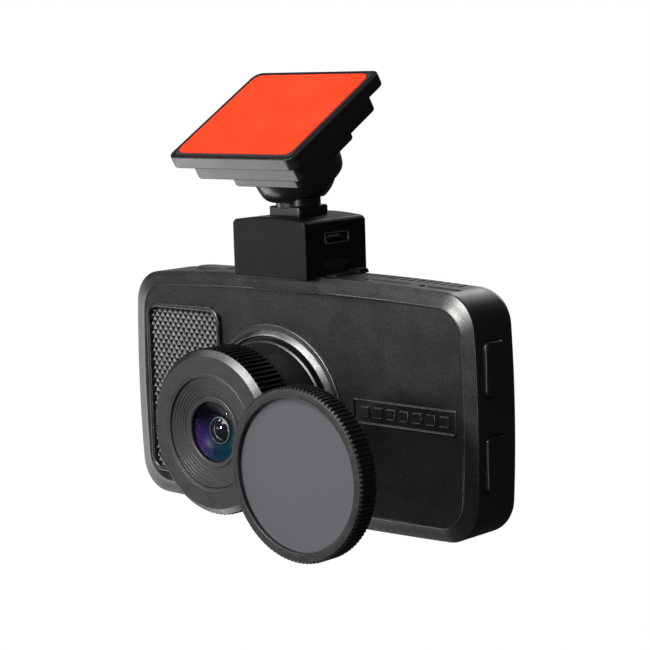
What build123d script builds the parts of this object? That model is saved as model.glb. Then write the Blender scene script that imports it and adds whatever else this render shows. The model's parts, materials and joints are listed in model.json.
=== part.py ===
"""Dash camera on a windshield ball mount, with a clip-on polarising filter.

Working frame: millimetres, x = 0 at the middle of the camera body, y = 0 on the flat front
cover with +Y towards the driver, z = 0 at the lowest point of the body, +Z up. Every node is
moved on export so that the origin is the middle of the adhesive face on the windshield plate.
"""

from build123d import *
from math import atan2, cos, radians, sin
import os

# ---------------------------------------------------------------- driving dimensions
BODY_WIDTH = 96.0
BODY_HEIGHT = 51.3
BODY_DEPTH = 14.2
BULGE_TOP = 1.7
BULGE_BOTTOM = 0.75
BULGE_SIDE = 1.05
CORNER_RADIUS = 7.4
BEVEL_INSET = 2.75
BEVEL_DEPTH = 0.64
COVER_EDGE = 1.0
COVER_BACK = 1.6
WALL = 1.6
BACK_EDGE_RADIUS = 2.6
BACK_WALL_FRONT = 12.3
GAP = 0.05

LENS_X = -6.0
LENS_Z = 20.7
LENS_FACE_Y = -18.95
TRIM_RADIUS = 20.1
GRIP_RADIUS = 17.2
GRIP_FRONT_Y = -17.75
GRIP_REAR_Y = -9.9
BARREL_RADIUS = 16.4

FILTER_X = 24.95
FILTER_Z = 17.0
FILTER_FRONT_Y = -27.0
FILTER_REAR_Y = -21.7
FILTER_RADIUS = 17.15
FILTER_OPENING = 15.0

BLOCK_X = -3.2
BLOCK_Y = 6.8
BLOCK_WIDTH = 20.7
BLOCK_DEPTH = 18.8
BLOCK_BOTTOM_Z = 51.6
BLOCK_LIP_Z = 50.7
BLOCK_LIP_Y = -0.35
BLOCK_SIDE_Z = 62.8
BLOCK_TOP_Z = 63.45
BLOCK_WALL = 1.4

BALL_Z = 73.1
BALL_RADIUS = 8.2
NECK_RADIUS = 4.7
COLLAR_SIDE = 8.9
COLLAR_TOP_Z = 65.3
PLATE_TILT = 31.0
SOCKET_OUTER = 9.5
SOCKET_RIM = -2.7
CUP_OUTER = 9.0
TIER3_LOW, TIER2_LOW, TIER1_LOW = 1.5, 5.9, 10.45
FOAM_LOW, RIM_TOP, LINER_LOW, PAD_TOP = 12.2, 13.2, 13.35, 13.55
PLATE_SIZE = (35.4, 32.2)
PLATE_RIM = 1.1
LINER_SIZE = (32.2, 29.0)
TIER2_SIZE = (30.4, 26.8)
TIER3_SIZE = (20.2, 19.2)

BUTTON_Y = 5.7
BUTTON_WIDTH = 6.0
BUTTON_PROUD = 0.8
UPPER_BUTTON = (35.15, 10.9)
LOWER_BUTTON = (16.3, 11.2)
POWER_BUTTON = (-28.4, 7.6)
POWER_SIZE = (11.0, 5.0)

CARD_X = 22.8
CARD_Y = 4.4
VIDEO_X = 36.05
VIDEO_Y = 4.7

GRILLE_X = (-43.3, -20.5)
GRILLE_Z = (5.5, 43.3)
GRILLE_LIP = 0.8
GRILLE_PROUD = 0.9
BADGE_X = (16.7, 43.4)
BADGE_Z = (22.3, 27.3)
BADGE_PROUD = 0.4
BADGE_BAR = (2.4, 2.2)
BADGE_BARS = [19.8 + 3.42 * i for i in range(7)]

SCREEN_X = (-39.8, 39.8)
SCREEN_Z = (4.2, 46.5)
SCREEN_SEAT_Y = 13.1

SCREW_PLACES = [(x, z) for x in (-42.2, 42.2) for z in (8.0, 39.2)]

# ---------------------------------------------------------------- frames
FRONT = Plane(origin=(0, 0, 0), x_dir=(1, 0, 0), z_dir=(0, -1, 0))
SIDE = Plane(origin=(0, 0, 0), x_dir=(0, 1, 0), z_dir=(1, 0, 0))
tilt = radians(PLATE_TILT)
PAD_NORMAL = Vector(0, -sin(tilt), cos(tilt))
BALL_CENTRE = Vector(BLOCK_X, BLOCK_Y, BALL_Z)
PLATE = Plane(origin=BALL_CENTRE, x_dir=(1, 0, 0), z_dir=PAD_NORMAL)
ORIGIN = BALL_CENTRE + PAD_NORMAL * PAD_TOP

parts = {}


def keep(name, shape):
    """Record one node, moved so that the adhesive face's middle is the origin."""
    parts[name] = Pos(*(-ORIGIN)) * shape


# ---------------------------------------------------------------- small shape helpers
def along_y(sketch, front_y, back_y):
    """A sketch drawn in x and z, made solid between two y places."""
    return FRONT * extrude(Pos(0, 0, -back_y) * sketch, amount=back_y - front_y)


def along_x(sketch, low_x, high_x):
    """A sketch drawn in y and z, made solid between two x places."""
    return SIDE * extrude(Pos(0, 0, low_x) * sketch, amount=high_x - low_x)


def block(x, y, z):
    """A box from three (low, high) pairs."""
    size = [pair[1] - pair[0] for pair in (x, y, z)]
    middle = [(pair[0] + pair[1]) / 2 for pair in (x, y, z)]
    return Pos(*middle) * Box(*size)


def rounded_box(x, y, z, radius, axis=Axis.Z):
    """A box with the four edges along one axis rounded."""
    shape = block(x, y, z)
    return fillet(shape.edges().filter_by(axis), radius)


def turned(profile, x, z):
    """A ring turned about a line along Y at (x, z); the profile is (radius, y) points."""
    points = [(radius, 0, -y) for radius, y in profile]
    face = make_face(Polyline(*points, close=True))
    return FRONT * (Pos(x, z, 0) * revolve(face, Axis.Z))


def tube(x, z, outer, inner, front_y, back_y):
    """A plain ring about a line along Y; inner may be 0."""
    corners = [(inner, front_y), (outer, front_y), (outer, back_y), (inner, back_y)]
    return turned(corners, x, z)


def upright(x, y, radius, low_z, high_z):
    """A round bar along Z."""
    return Pos(x, y, (low_z + high_z) / 2) * Cylinder(radius, high_z - low_z)


def top_surface(x):
    """Height of the body's arched top at x."""
    return BODY_HEIGHT - BULGE_TOP * (x / (BODY_WIDTH / 2)) ** 2


# ---------------------------------------------------------------- camera body outline
def outline(inset, bulge=1.0):
    """The body's front outline: four arched sides and round corners, moved in by inset."""
    half = BODY_WIDTH / 2 - BULGE_SIDE - inset
    top = BODY_HEIGHT - BULGE_TOP - inset
    bottom = BULGE_BOTTOM + inset
    middle = (top + bottom) / 2
    sides = [
        ThreePointArc((-half, bottom), (0, bottom - BULGE_BOTTOM * bulge), (half, bottom)),
        ThreePointArc((half, bottom), (half + BULGE_SIDE * bulge, middle), (half, top)),
        ThreePointArc((half, top), (0, top + BULGE_TOP * bulge), (-half, top)),
        ThreePointArc((-half, top), (-half - BULGE_SIDE * bulge, middle), (-half, bottom)),
    ]
    face = make_face(Curve() + sides)
    return fillet(face.vertices(), CORNER_RADIUS - 0.6 * inset)


def bevelled_front():
    """The front cover's outer form: a flat face with a shallow bevel all round."""
    back = FRONT * (Pos(0, 0, -BEVEL_DEPTH) * outline(0))
    front = FRONT * outline(BEVEL_INSET, bulge=0.75)
    bevel = loft([back.faces()[0], front.faces()[0]], ruled=True)
    return bevel + along_y(outline(0), BEVEL_DEPTH, COVER_EDGE)


def window(size_x, size_z, inset, radius):
    """A rounded rectangle given by its x and z limits, moved in by inset."""
    width = size_x[1] - size_x[0] - 2 * inset
    height = size_z[1] - size_z[0] - 2 * inset
    middle = Pos((size_x[0] + size_x[1]) / 2, (size_z[0] + size_z[1]) / 2, 0)
    return middle * RectangleRounded(width, height, radius)


# ---------------------------------------------------------------- camera casing
def make_casing():
    cover = bevelled_front()
    cover += along_y(outline(WALL + 0.15), COVER_EDGE, COVER_BACK)
    cover -= tube(LENS_X, LENS_Z, 15.1, 0, -1, 3)
    cover -= along_y(window(GRILLE_X, GRILLE_Z, GRILLE_LIP, 2.6), -1, 3)
    for x, z in SCREW_PLACES:
        boss = Pos(x, z) * Circle(1.85) - Pos(x, z) * Circle(0.82)
        cover += along_y(boss, COVER_BACK - 0.1, 9.0)
    keep("front_cover", cover)

    shell = along_y(outline(0), COVER_EDGE + GAP, BODY_DEPTH)
    back_edges = shell.edges().group_by(Axis.Y)[-1]
    shell = fillet(back_edges, BACK_EDGE_RADIUS)
    shell -= along_y(outline(WALL), 0, BACK_WALL_FRONT)
    shell -= along_y(window((-38, 38), (7.0, 44.0), 0, 2.0), 10, 16)
    shell -= along_y(window(SCREEN_X, SCREEN_Z, -GAP, 5.0), SCREEN_SEAT_Y, 16)
    for x, z in SCREW_PLACES:
        shell -= tube(x, z, 1.1, 0, 10, 16)
        shell -= tube(x, z, 1.75, 0, 13.2, 16)
    for z, length in (UPPER_BUTTON, LOWER_BUTTON):
        hole = Pos(BUTTON_Y, z) * RectangleRounded(BUTTON_WIDTH + 0.3, length + 0.3, 1.5)
        shell -= along_x(hole, 40, 50)
    shell -= oval(POWER_SIZE[0] + 0.3, POWER_SIZE[1] + 0.3, *POWER_BUTTON, 45, 55)
    shell -= oval(11.5, 1.5, CARD_X, CARD_Y, 45, 55)
    shell -= oval(10.0, 1.9, VIDEO_X, VIDEO_Y, 45, 55)
    for x in vent_places():
        shell -= oval(0.85, 3.2, x, 9.6, 45, 55)
    for x in RAIL_SCREWS:
        shell -= upright(x, BLOCK_Y, 1.05, 45, 55)
    keep("rear_shell", shell)

    keep("screen_glass", along_y(window(SCREEN_X, SCREEN_Z, 0, 4.9), SCREEN_SEAT_Y + GAP, 14.15))
    screws = Compound([case_screw(x, z) for x, z in SCREW_PLACES])
    keep("case_screws", screws)


def oval(long_x, long_y, x, y, low_z, high_z):
    """An upright slot-shaped bar, longer in x or in y, with round ends."""
    if long_x > long_y:
        sketch = SlotOverall(long_x, long_y)
    else:
        sketch = SlotOverall(long_y, long_x, rotation=90)
    return extrude(Pos(x, y, low_z) * sketch, amount=high_z - low_z)


def vent_places():
    """x of the top vent slits, to the right of the holder and to its left."""
    pitch = 2.06
    right = [12.9 + pitch * i for i in range(13)]
    left = [-21.5 + pitch * i for i in range(4)]
    return right + left


def case_screw(x, z):
    """A countersunk-style case screw from the back into the front cover's boss."""
    profile = [(0, 13.25), (0, 5.5), (0.8, 5.5), (0.8, 12.0), (1.0, 12.0), (1.0, 13.25)]
    head = tube(x, z, 1.65, 0, 13.25, 14.0)
    return turned(profile, x, z) + head


# ---------------------------------------------------------------- front face trim
def make_front_trim():
    outer = window(GRILLE_X, GRILLE_Z, 0, 3.4)
    inner = window(GRILLE_X, GRILLE_Z, GRILLE_LIP, 2.6)
    lens_gap = tube(LENS_X, LENS_Z, TRIM_RADIUS + GAP, 0, -2, 0)
    keep("grille_frame", along_y(outer - inner, -GRILLE_PROUD, 0) - lens_gap)
    plate = along_y(window(GRILLE_X, GRILLE_Z, GRILLE_LIP + GAP, 2.55), -0.05, 1.5)
    for row in range(5):
        z = 20.6 + 2.0 * row
        plate -= along_y(Pos(-33, z) * SlotOverall(12, 0.8), -1, 2)
    trim_gap = tube(LENS_X, LENS_Z, TRIM_RADIUS + GAP, 0, -2, 0.3)
    keep("grille_plate", plate - trim_gap)

    frame = window(BADGE_X, BADGE_Z, 0, 0.5) - window(BADGE_X, BADGE_Z, 0.35, 0.2)
    badge = along_y(frame, -BADGE_PROUD, 0)
    bars = [along_y(Pos(x, 24.8) * Rectangle(*BADGE_BAR), -BADGE_PROUD, 0) for x in BADGE_BARS]
    keep("badge", Compound([badge] + bars))


# ---------------------------------------------------------------- lens
def make_lens():
    x, z = LENS_X, LENS_Z
    trim = [
        (17.0, 0), (TRIM_RADIUS, 0), (TRIM_RADIUS, -0.35), (18.8, -0.35), (17.8, -1.2), (17.6, -1.2),
        (17.6, -0.35), (17.0, -0.35),
    ]
    keep("lens_trim_ring", turned(trim, x, z))

    barrel = [
        (14.2, GRIP_FRONT_Y + 0.05), (15.9, GRIP_FRONT_Y + 0.05), (15.9, GRIP_REAR_Y),
        (BARREL_RADIUS, GRIP_REAR_Y), (BARREL_RADIUS, -1.65), (16.75, -1.6), (16.75, 0),
        (15.0, 0), (15.0, 3.2), (13.4, 3.2), (13.4, -6), (14.2, -7),
    ]
    keep("lens_barrel", turned(barrel, x, z))
    keep("grip_ring", tube(x, z, GRIP_RADIUS, 15.95, GRIP_FRONT_Y, GRIP_REAR_Y - GAP))

    bezel = [
        (11.46, LENS_FACE_Y), (15.76, LENS_FACE_Y), (17.0, GRIP_FRONT_Y - 0.03),
        (11.46, GRIP_FRONT_Y - 0.03),
    ]
    keep("front_bezel", turned(bezel, x, z))

    steps = 6
    profile = [(7.45, -16.9), (7.45, -17.85)]
    for i in range(steps):
        radius = 7.45 + (11.4 - 7.45) * (i + 1) / steps
        depth = -17.85 - 0.75 * i / steps
        profile += [(radius - 0.08, depth), (radius - 0.08, depth - 0.125)]
    profile += [(11.4, -18.6), (11.4, -17.65), (14.1, -17.65), (14.1, -16.9)]
    keep("stepped_baffle", turned(profile, x, z))

    retainer = [
        (6.25, -17.95), (7.4, -18.1), (7.4, -16.6), (8.1, -16.6), (8.1, -16.1), (6.25, -16.1),
    ]
    keep("glass_retainer", turned(retainer, x, z))
    lens_tube = [
        (6.3, -16.0), (8.2, -16.0), (8.2, -8), (13.3, -8), (13.3, -6.8), (8.2, -6.8),
        (8.2, 3.0), (4.6, 3.0), (4.6, -5.0), (5.2, -5.0), (5.2, -12.0), (6.3, -12.0),
    ]
    keep("lens_tube", turned(lens_tube, x, z))

    keep("front_glass", dome_lens(x, z, 6.2, -17.4, 1.1, 1.3))
    keep("middle_glass", dome_lens(x, z, 6.2, -15.2, 0.7, 1.6))
    keep("rear_glass", dome_lens(x, z, 4.55, -3.6, 1.0, 2.0))


def dome_lens(x, z, radius, edge_y, rise, thickness):
    """A lens element: a front cap that rises by rise over a flat-backed disc."""
    curve = (radius ** 2 + rise ** 2) / (2 * rise)
    centre = (0, 0, -edge_y + rise - curve)
    top = (0, 0, -edge_y + rise)
    bend = atan2(radius, curve - rise) / 2
    middle = (curve * sin(bend), 0, centre[2] + curve * cos(bend))
    edge = (radius, 0, -edge_y)
    back = -edge_y - thickness
    lines = [
        ThreePointArc(top, middle, edge), Line(edge, (radius, 0, back)),
        Line((radius, 0, back), (0, 0, back)), Line((0, 0, back), top),
    ]
    face = make_face(Curve() + lines)
    return FRONT * (Pos(x, z, 0) * revolve(face, Axis.Z))


# ---------------------------------------------------------------- inside the camera
def make_electronics():
    keep("image_sensor", block((-10, -2), (3.5, 4.3), (17.7, 23.7)))
    keep("sensor_board", block((-17, 5), (4.35, 5.3), (9.7, 31.7)))
    main_board = block((-40, 40), (7.3, 8.4), (9.0, 33.5)) + block((-39, 15), (7.3, 8.4), (33, 44))
    keep("main_board", main_board)
    keep("heat_spreader", block((-14, 2), (5.9, 7.25), (13, 29)))
    keep("display_panel", block((-37.5, 37.5), (9.6, 12.2), (7.5, 43.5)))
    keep("battery", rounded_box((14, 40), (1.9, 6.6), (5.0, 28.0), 1.5, Axis.X))
    speaker = [(0, 2.0), (10.0, 2.0), (10.0, 4.2), (6.0, 4.2), (6.0, 6.2), (0, 6.2)]
    keep("speaker", turned(speaker, -34.5, 24.6))
    keep("microphone", tube(-34.5, 9.0, 2.0, 0, 2.0, 3.6))

    socket = block((CARD_X - 7, CARD_X + 7), (3.1, 5.6), (34.6, 48.6))
    socket -= block((CARD_X - 5.65, CARD_X + 5.65), (CARD_Y - 0.55, CARD_Y + 0.55), (35.2, 49))
    keep("card_socket", socket)
    card = block((CARD_X - 5.5, CARD_X + 5.5), (CARD_Y - 0.4, CARD_Y + 0.4), (35.5, 50.4))
    corner = card.edges().filter_by(Axis.Y).group_by(Axis.Z)[0]
    keep("memory_card", chamfer(corner, 0.8))
    video = block((VIDEO_X - 4.9, VIDEO_X + 4.9), (3.2, 6.2), (41.3, 48.1))
    video -= block((VIDEO_X - 4.4, VIDEO_X + 4.4), (3.7, 5.7), (43.0, 49))
    keep("video_socket", video)


# ---------------------------------------------------------------- buttons
def make_buttons():
    for name, (z, length) in (("upper_button", UPPER_BUTTON), ("lower_button", LOWER_BUTTON)):
        face_x = BODY_WIDTH / 2 + BUTTON_PROUD
        cap = along_x(Pos(BUTTON_Y, z) * RectangleRounded(BUTTON_WIDTH, length, 1.35), 45.5, face_x)
        cap = fillet(cap.faces().sort_by(Axis.X)[-1].edges(), 0.6)
        flange_sketch = Pos(BUTTON_Y, z) * RectangleRounded(BUTTON_WIDTH + 1.0, length + 1.6, 1.5)
        cap += along_x(flange_sketch, 44.8, 45.5)
        keep(name, cap)
        switch = block((41.6, 44.2), (BUTTON_Y - 1.6, BUTTON_Y + 1.0), (z - 1.8, z + 1.8))
        keep(name.replace("button", "switch"), switch)
    x, y = POWER_BUTTON
    top = top_surface(x) + 0.35
    cap = oval(*POWER_SIZE, x, y, 48.2, top)
    cap = fillet(cap.faces().sort_by(Axis.Z)[-1].edges(), 0.3)
    cap += oval(POWER_SIZE[0] + 1.4, POWER_SIZE[1] + 1.2, x, y, 47.3, 48.2)
    keep("power_button", cap)
    keep("power_switch", block((x - 1.8, x + 1.8), (y - 1.8, y - 0.35), (44.6, 46.6)))


# ---------------------------------------------------------------- slide rail on the camera
RAIL_X = (-11.0, 6.85)
RAIL_HEAD_TOP = 54.5
RAIL_SCREWS = (-7.4, 1.5)
PAD_PLACES = [-8.8, -5.8, 0.0, 3.0]


def make_rail():
    rail = block(RAIL_X, (4.0, 9.6), (50.0, 53.15)) + block(RAIL_X, (2.7, 10.9), (53.1, RAIL_HEAD_TOP))
    lug = rounded_box((BLOCK_RIGHT + 0.15, 10.5), (9.9, 12.9), (49.0, 52.2), 0.9, Axis.X)
    rail += block((RAIL_X[0], 10.0), (3.2, 12.4), (50.0, 51.5)) + lug
    rail -= along_y(outline(0), -1, 20)
    for x in PAD_PLACES:
        rail -= block((x - 0.8, x + 0.8), (5.2, 8.4), (RAIL_HEAD_TOP - 0.3, 55))
    for x in RAIL_SCREWS:
        rail -= upright(x, BLOCK_Y, 0.82, 45, 53.0)
    keep("slide_rail", rail)
    pad_z = (RAIL_HEAD_TOP - 0.3, RAIL_HEAD_TOP)
    keep("contact_pads", Compound([block((x - 0.8, x + 0.8), (5.2, 8.4), pad_z) for x in PAD_PLACES]))
    shanks = [upright(x, BLOCK_Y, 0.8, 48.6, 52.8) for x in RAIL_SCREWS]
    heads = [upright(x, BLOCK_Y, 1.7, 47.6, 48.6) for x in RAIL_SCREWS]
    keep("rail_screws", Compound([shank + head for shank, head in zip(shanks, heads)]))


# ---------------------------------------------------------------- holder block
BLOCK_LEFT = BLOCK_X - BLOCK_WIDTH / 2
BLOCK_RIGHT = BLOCK_X + BLOCK_WIDTH / 2
BLOCK_FRONT = BLOCK_Y - BLOCK_DEPTH / 2
BLOCK_BACK = BLOCK_Y + BLOCK_DEPTH / 2
USB_Y = 7.2
USB_Z = 58.9


def block_form(inset, low_z):
    """The holder's outer form with its arched top, moved in by inset."""
    left, right = BLOCK_LEFT + inset, BLOCK_RIGHT - inset
    side, crown, cut = BLOCK_SIDE_Z - inset, BLOCK_TOP_Z - inset, 0.7
    lines = [
        Polyline((left + cut, side), (left, side - cut), (left, low_z), (right, low_z),
                 (right, side - cut), (right - cut, side)),
        ThreePointArc((right - cut, side), (BLOCK_X, crown), (left + cut, side)),
    ]
    return along_y(make_face(Curve() + lines), BLOCK_FRONT + inset, BLOCK_BACK - inset)


def rail_channel():
    """The T-shaped slot that the camera's rail slides in, open towards +X."""
    neck = block((RAIL_X[0] - 0.2, 8), (3.75, 9.85), (51, 53.05))
    head = block((RAIL_X[0] - 0.2, 8), (2.45, 11.15), (53.0, 54.75))
    return neck + head


def make_holder():
    housing = block_form(0, BLOCK_LIP_Z)
    housing = chamfer(housing.edges().filter_by(GeomType.CIRCLE), 0.35)
    housing = fillet(housing.edges().filter_by(Axis.Z), 0.7)
    housing = chamfer(housing.edges().group_by(Axis.Z)[0], 0.35)
    housing -= block((-50, 50), (BLOCK_LIP_Y, 50), (40, BLOCK_BOTTOM_Z))
    housing -= block_form(BLOCK_WALL, BLOCK_BOTTOM_Z)
    housing -= rail_channel()
    mouth = Pos(USB_Y, USB_Z) * RectangleRounded(7.7, 2.7, 0.6)
    housing -= along_x(mouth, 4, 9)
    housing -= upright(BLOCK_X, BLOCK_Y, 1.6, 60, 66)
    keep("holder_housing", housing)

    inner = block(
        (BLOCK_LEFT + BLOCK_WALL + GAP, BLOCK_RIGHT - BLOCK_WALL - GAP),
        (BLOCK_FRONT + BLOCK_WALL + GAP, BLOCK_BACK - BLOCK_WALL - GAP),
        (BLOCK_BOTTOM_Z + 0.05, 55.9),
    )
    inner -= rail_channel()
    for x in PAD_PLACES:
        inner -= upright(x, BLOCK_Y, 0.65, 54, 57)
    keep("holder_base", inner)

    board = block((-11.4, 5.2), (-0.4, 14.0), (56.8, 57.6))
    keep("gps_board", board)
    keep("gps_antenna", rounded_box((-11.2, -2.2), (2.3, 11.3), (57.65, 59.3), 0.8))
    usb_outer = Pos(USB_Y, USB_Z) * RectangleRounded(7.5, 2.5, 0.5)
    usb_inner = Pos(USB_Y, USB_Z) * RectangleRounded(6.9, 1.9, 0.35)
    usb = along_x(usb_outer, 0.9, BLOCK_RIGHT - 0.15) - along_x(usb_inner, 2.0, 8)
    usb += along_x(Pos(USB_Y, USB_Z + 0.3) * Rectangle(3.6, 0.6), 1.8, 6.2)
    keep("usb_socket", usb)
    barrels = [upright(x, BLOCK_Y, 0.6, 54.85, 56.75) for x in PAD_PLACES]
    plungers = [upright(x, BLOCK_Y, 0.35, 54.55, 55.2) for x in PAD_PLACES]
    keep("contact_pins", Compound([barrel + tip for barrel, tip in zip(barrels, plungers)]))

    collar = rounded_box(
        (BLOCK_X - COLLAR_SIDE / 2, BLOCK_X + COLLAR_SIDE / 2),
        (BLOCK_Y - COLLAR_SIDE / 2, BLOCK_Y + COLLAR_SIDE / 2),
        (62.5, COLLAR_TOP_Z), 0.6,
    )
    stem = collar + upright(BLOCK_X, BLOCK_Y, NECK_RADIUS, 65.0, 66.95)
    stem += upright(BLOCK_X, BLOCK_Y, 3.0, 66.5, 76.2)
    stem -= block_form(-0.01, 50)
    stem -= upright(BLOCK_X, BLOCK_Y, 1.27, 60, 70.5)
    groove = upright(BLOCK_X, BLOCK_Y, 3.5, 75.0, 75.6) - upright(BLOCK_X, BLOCK_Y, 2.5, 74.5, 76)
    keep("stem", stem - groove)
    clip = upright(BLOCK_X, BLOCK_Y, 4.0, 75.05, 75.55) - upright(BLOCK_X, BLOCK_Y, 2.52, 74, 77)
    keep("stem_clip", clip)
    screw = upright(BLOCK_X, BLOCK_Y, 1.25, 61.0, 70.0) + upright(BLOCK_X, BLOCK_Y, 2.4, 59.45, 61.0)
    keep("stem_screw", screw)
    washer = upright(BLOCK_X, BLOCK_Y, 3.0, 61.05, 61.7) - upright(BLOCK_X, BLOCK_Y, 1.3, 60, 63)
    keep("stem_washer", washer)


# ---------------------------------------------------------------- ball joint and windshield plate
def make_ball_joint():
    joint_ball = Pos(*BALL_CENTRE) * Sphere(BALL_RADIUS)
    joint_ball -= upright(BLOCK_X, BLOCK_Y, 3.03, 60, 76.5)
    joint_ball -= upright(BLOCK_X, BLOCK_Y, 6.5, 60, 67.0)
    joint_ball -= upright(BLOCK_X, BLOCK_Y, 4.1, 74.95, 79)
    joint_ball -= upright(BLOCK_X, BLOCK_Y, 5.0, 79, 85)
    keep("ball", joint_ball)

    # The cup is a cap of 54 degrees about the stem, so it stays inside the base block.
    cup = Sphere(CUP_OUTER) - Sphere(BALL_RADIUS + GAP)
    reach = CUP_OUTER * cos(radians(54))
    cup &= Pos(0, 0, reach + 10) * Box(30, 30, 20)
    keep("friction_cup", Pos(*BALL_CENTRE) * cup)


def tier(size, radius, low, high):
    """One rounded slab of the windshield plate, in the plate's local frame."""
    return extrude(Pos(0, 0, low) * RectangleRounded(*size, radius), amount=high - low)


def make_plate():
    cavity = Sphere(CUP_OUTER + GAP)
    base = tier(TIER2_SIZE, 1.6, TIER2_LOW, TIER1_LOW - 0.02)
    base = chamfer(base.edges().group_by(Axis.Z)[0], 0.4)
    base += tier(TIER3_SIZE, 1.9, TIER3_LOW, TIER2_LOW + 0.1)
    keep("base_block", PLATE * (base - cavity - plate_screw_holes(0.82)))

    plate = tier(PLATE_SIZE, 2.2, TIER1_LOW, RIM_TOP)
    plate = chamfer(plate.edges().group_by(Axis.Z)[0], 0.35)
    pocket = [side - 2 * PLATE_RIM for side in PLATE_SIZE]
    plate -= tier(pocket, 1.3, FOAM_LOW, PAD_TOP)
    keep("mount_plate", PLATE * (plate - plate_screw_holes(1.05) - plate_screw_heads(1.8)))
    foam = [side - 2 * GAP for side in pocket]
    keep("foam_tape", PLATE * tier(foam, 1.25, FOAM_LOW, LINER_LOW))
    keep("release_liner", PLATE * tier(LINER_SIZE, 2.2, LINER_LOW, PAD_TOP))

    band = Pos(0, 0, (TIER3_LOW + SOCKET_RIM) / 2) * Box(30, 30, TIER3_LOW - SOCKET_RIM)
    ring = Sphere(SOCKET_OUTER) & band
    upper = Pos(0, 0, 5.0) * Box(30, 30, 10)
    ring -= Sphere(BALL_RADIUS + GAP)
    ring -= cavity & upper
    keep("socket_ring", PLATE * (ring - Pos(0, 0, TIER3_LOW) * Box(40, 40, 0.04)))

    screws = []
    for x, y in PLATE_SCREWS:
        shank = Pos(x, y, 9.1) * Cylinder(0.8, 5.2)
        head = Pos(x, y, 11.75) * Cylinder(1.7, 0.7)
        screws.append(PLATE * (shank + Pos(x, y, 11.5) * Cylinder(0.8, 0.6) + head))
    keep("plate_screws", Compound(screws))


PLATE_SCREWS = [(x, y) for x in (-12.2, 12.2) for y in (-9.6, 9.6)]


def plate_screw_holes(radius):
    """Four blind holes from the plate's upper side."""
    return Compound([Pos(x, y, 9.5) * Cylinder(radius, 6.2) for x, y in PLATE_SCREWS])


def plate_screw_heads(radius):
    """Counterbores for the plate screws' heads."""
    return Compound([Pos(x, y, 12.35) * Cylinder(radius, 2.0) for x, y in PLATE_SCREWS])


# ---------------------------------------------------------------- polarising filter
def make_filter():
    x, z = FILTER_X, FILTER_Z
    grip = [
        (FILTER_OPENING, FILTER_FRONT_Y), (FILTER_RADIUS - 0.5, FILTER_FRONT_Y),
        (FILTER_RADIUS, FILTER_FRONT_Y + 0.5), (FILTER_RADIUS, -22.35), (15.0, -22.35), (15.0, -23.5),
        (15.55, -23.5), (15.55, -26.1), (FILTER_OPENING, -26.1),
    ]
    keep("filter_grip_ring", turned(grip, x, z))
    keep("filter_glass", tube(x, z, 15.5, 0, -26.05, -24.5))
    keep("filter_retainer", tube(x, z, 15.5, 14.2, -24.45, -23.6))
    rear = [
        (13.4, -23.45), (14.95, -23.45), (14.95, -22.3), (16.2, -22.3), (16.2, FILTER_REAR_Y),
        (13.4, FILTER_REAR_Y),
    ]
    keep("filter_rear_ring", turned(rear, x, z))
    keep("filter_magnet", tube(x, z, 13.37, 12.0, -23.4, FILTER_REAR_Y - GAP))


# ---------------------------------------------------------------- build and write
make_casing()
make_front_trim()
make_lens()
make_electronics()
make_buttons()
make_rail()
make_holder()
make_ball_joint()
make_plate()
make_filter()

os.makedirs("parts", exist_ok=True)
for name, shape in parts.items():
    export_step(shape, f"parts/{name}.step")
print(len(parts), "nodes; origin in the working frame:", tuple(ORIGIN))
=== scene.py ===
import json
from math import acos, cos, hypot, pi, radians, sin, tau

import bmesh
import bpy
from mathutils import Matrix, Vector
from mathutils.geometry import tessellate_polygon


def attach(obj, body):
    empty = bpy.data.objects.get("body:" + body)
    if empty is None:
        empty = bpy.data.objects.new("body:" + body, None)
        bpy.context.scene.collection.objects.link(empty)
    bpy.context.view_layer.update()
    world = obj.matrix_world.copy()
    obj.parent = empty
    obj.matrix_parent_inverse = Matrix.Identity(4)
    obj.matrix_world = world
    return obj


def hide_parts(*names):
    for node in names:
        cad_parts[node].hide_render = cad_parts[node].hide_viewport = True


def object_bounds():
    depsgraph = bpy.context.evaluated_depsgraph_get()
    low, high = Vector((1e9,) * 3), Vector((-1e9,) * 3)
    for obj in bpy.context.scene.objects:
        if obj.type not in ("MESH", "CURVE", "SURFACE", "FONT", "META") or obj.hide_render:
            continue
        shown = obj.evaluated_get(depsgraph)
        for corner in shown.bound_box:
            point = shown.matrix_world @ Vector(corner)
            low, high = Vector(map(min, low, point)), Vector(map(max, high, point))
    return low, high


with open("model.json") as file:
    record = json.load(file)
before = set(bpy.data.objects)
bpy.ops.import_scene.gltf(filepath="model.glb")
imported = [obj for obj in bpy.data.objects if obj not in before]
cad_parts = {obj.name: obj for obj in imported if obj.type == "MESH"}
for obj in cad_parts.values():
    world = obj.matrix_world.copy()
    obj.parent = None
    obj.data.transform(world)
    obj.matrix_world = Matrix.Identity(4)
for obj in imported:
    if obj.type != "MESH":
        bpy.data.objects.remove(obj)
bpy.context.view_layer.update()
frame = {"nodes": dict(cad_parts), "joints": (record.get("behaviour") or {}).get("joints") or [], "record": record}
record = frame["record"]

# Shapes are made in millimetres in a working frame: x = 0 at the middle of the camera body, y = 0 on
# the flat front cover with +Y towards the driver, z = 0 at the lowest point of the body, +Z up.
MM = 0.001
BALL_CENTRE = Vector((-3.2, 6.8, 73.1))
ball_joint = next(joint for joint in frame["joints"] if joint["name"] == "ball_tilt")
TO_ROW = (Matrix.Translation(Vector(ball_joint["pos_m"])) @ Matrix.Scale(MM, 4)
          @ Matrix.Translation(-BALL_CENTRE))

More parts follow.
